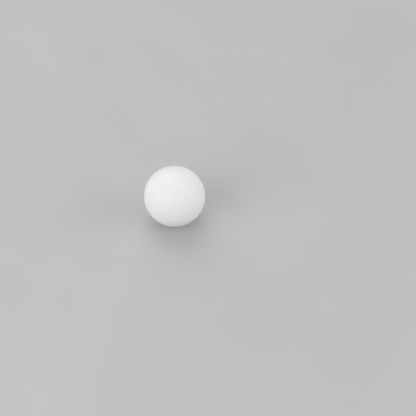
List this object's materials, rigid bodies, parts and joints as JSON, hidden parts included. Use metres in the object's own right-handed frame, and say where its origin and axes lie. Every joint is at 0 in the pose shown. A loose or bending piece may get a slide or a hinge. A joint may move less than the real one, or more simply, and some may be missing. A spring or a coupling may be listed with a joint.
{
  "type": "table tennis ball",
  "caption": "Hollow matte white table tennis ball: upper and lower half shells lapped and cemented together at the equator.",
  "frame": {"origin": "centre of the ball, on the joint plane", "axes": "+Z through the pole of the upper half shell, square to the joint plane; +X and +Y are in the joint plane, and the ball is the same all round +Z"},
  "size_m": [0.04, 0.04, 0.04],
  "materials": {
    "shell_plastic": "matte",
    "cured_cement": "satin"
  },
  "bodies": {
    "root": {"upper_half_shell": "shell_plastic", "lower_half_shell": "shell_plastic", "seam_cement": "cured_cement"}
  },
  "joints": []
}
